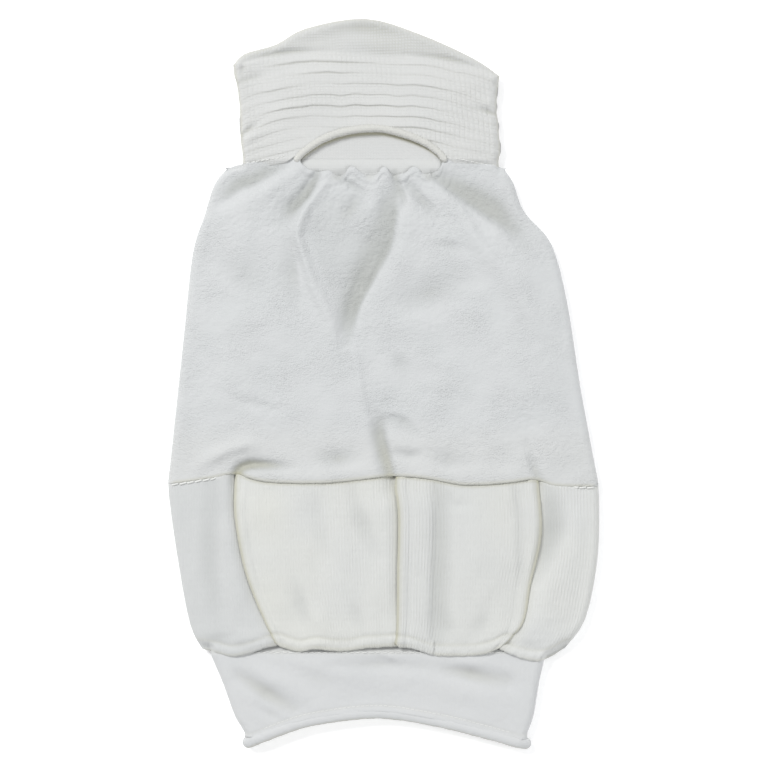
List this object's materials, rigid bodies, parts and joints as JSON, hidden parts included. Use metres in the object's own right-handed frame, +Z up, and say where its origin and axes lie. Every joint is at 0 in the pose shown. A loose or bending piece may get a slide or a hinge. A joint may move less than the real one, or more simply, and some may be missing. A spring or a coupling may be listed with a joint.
{
  "type": "beekeeping suit",
  "caption": "White sleeveless pull-over smock with an attached waffle-knit hood, a gathered face opening, a pleated rib-knit skirt and a rolled hem, lying flat.",
  "frame": {"origin": "under the middle of the garment's overall box, on the surface that it lies on", "axes": "+Y from the hem towards the crown of the hood, +X to the right as the front is seen from above, +Z up out of the front of the garment"},
  "size_m": [0.4026, 0.6816, 0.0235],
  "materials": {
    "terry": "white looped terry",
    "waffle_knit": "white shirred waffle knit",
    "rib_knit": "off-white rib knit",
    "jersey": "smooth white jersey",
    "seam_thread": "white overlock stitching",
    "elastic": "white woven elastic"
  },
  "bodies": {
    "torso": {"front_body_panel": "terry", "back_body_panel": "terry", "left_body_side_seam": "terry", "right_body_side_seam": "terry", "left_shoulder_seam": "seam_thread", "right_shoulder_seam": "seam_thread", "back_neck_seam": "seam_thread", "neckline_casing": "terry", "neckline_elastic": "elastic", "waist_seam_front": "seam_thread", "waist_seam_back": "seam_thread", "left_rib_side_panel": "rib_knit", "left_rib_centre_panel": "rib_knit", "right_rib_centre_panel": "rib_knit", "right_rib_side_panel": "rib_knit", "left_pleat_fold": "rib_knit", "centre_pleat_fold": "rib_knit", "right_pleat_fold": "rib_knit", "rib_back_panel": "rib_knit", "left_rib_side_fold": "rib_knit", "right_rib_side_fold": "rib_knit", "hem_seam_front": "seam_thread", "hem_seam_back": "seam_thread"},
    "hem_cuff": {"hem_front_band": "jersey", "hem_back_band": "jersey", "hem_left_edge": "jersey", "hem_right_edge": "jersey", "hem_front_roll": "jersey", "hem_back_roll": "jersey"},
    "hood": {"hood_front_band": "waffle_knit", "hood_crown": "waffle_knit", "hood_back_panel": "waffle_knit", "hood_left_edge": "waffle_knit", "hood_right_edge": "waffle_knit", "hood_crown_edge": "waffle_knit", "face_opening_rim": "waffle_knit"}
  },
  "joints": [
    {"name": "hood_fold", "type": "hinge", "parent": "torso", "child": "hood", "pos_m": [0, 0.205, 0.0245], "axis": [1, 0, 0], "range_deg": [0, 165]},
    {"name": "hem_turn_up", "type": "hinge", "parent": "torso", "child": "hem_cuff", "pos_m": [0, -0.2523, 0.0245], "axis": [-1, 0, 0], "range_deg": [0, 165]}
  ]
}
